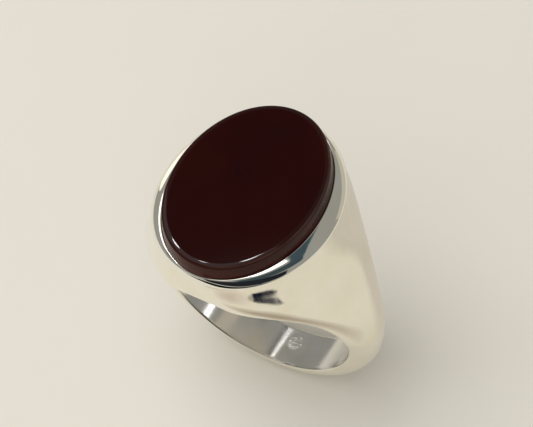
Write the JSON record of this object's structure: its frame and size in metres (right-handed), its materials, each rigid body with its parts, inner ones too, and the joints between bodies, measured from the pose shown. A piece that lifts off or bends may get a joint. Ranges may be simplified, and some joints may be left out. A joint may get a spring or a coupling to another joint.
{
  "type": "signet ring",
  "caption": "Silver signet ring with a large oval head, a flat-topped dark red carnelian in a rolled bezel, tapered shoulders and a round-bottomed shank.",
  "frame": {"origin": "centre of the finger bore, halfway along the finger", "axes": "+Z from the bore's centre up through the middle of the stone, Y along the finger, X from shoulder to shoulder"},
  "size_m": [0.0236, 0.019, 0.0271],
  "materials": {
    "ring_silver": "polished sterling silver",
    "bezel_silver": "burnished fine silver",
    "setting_cement": "matt jeweller's cement",
    "carnelian": "polished dark carnelian"
  },
  "bodies": {
    "root": {"ring_body": "ring_silver", "bezel": "bezel_silver", "setting_bed": "setting_cement", "stone": "carnelian"}
  },
  "joints": []
}
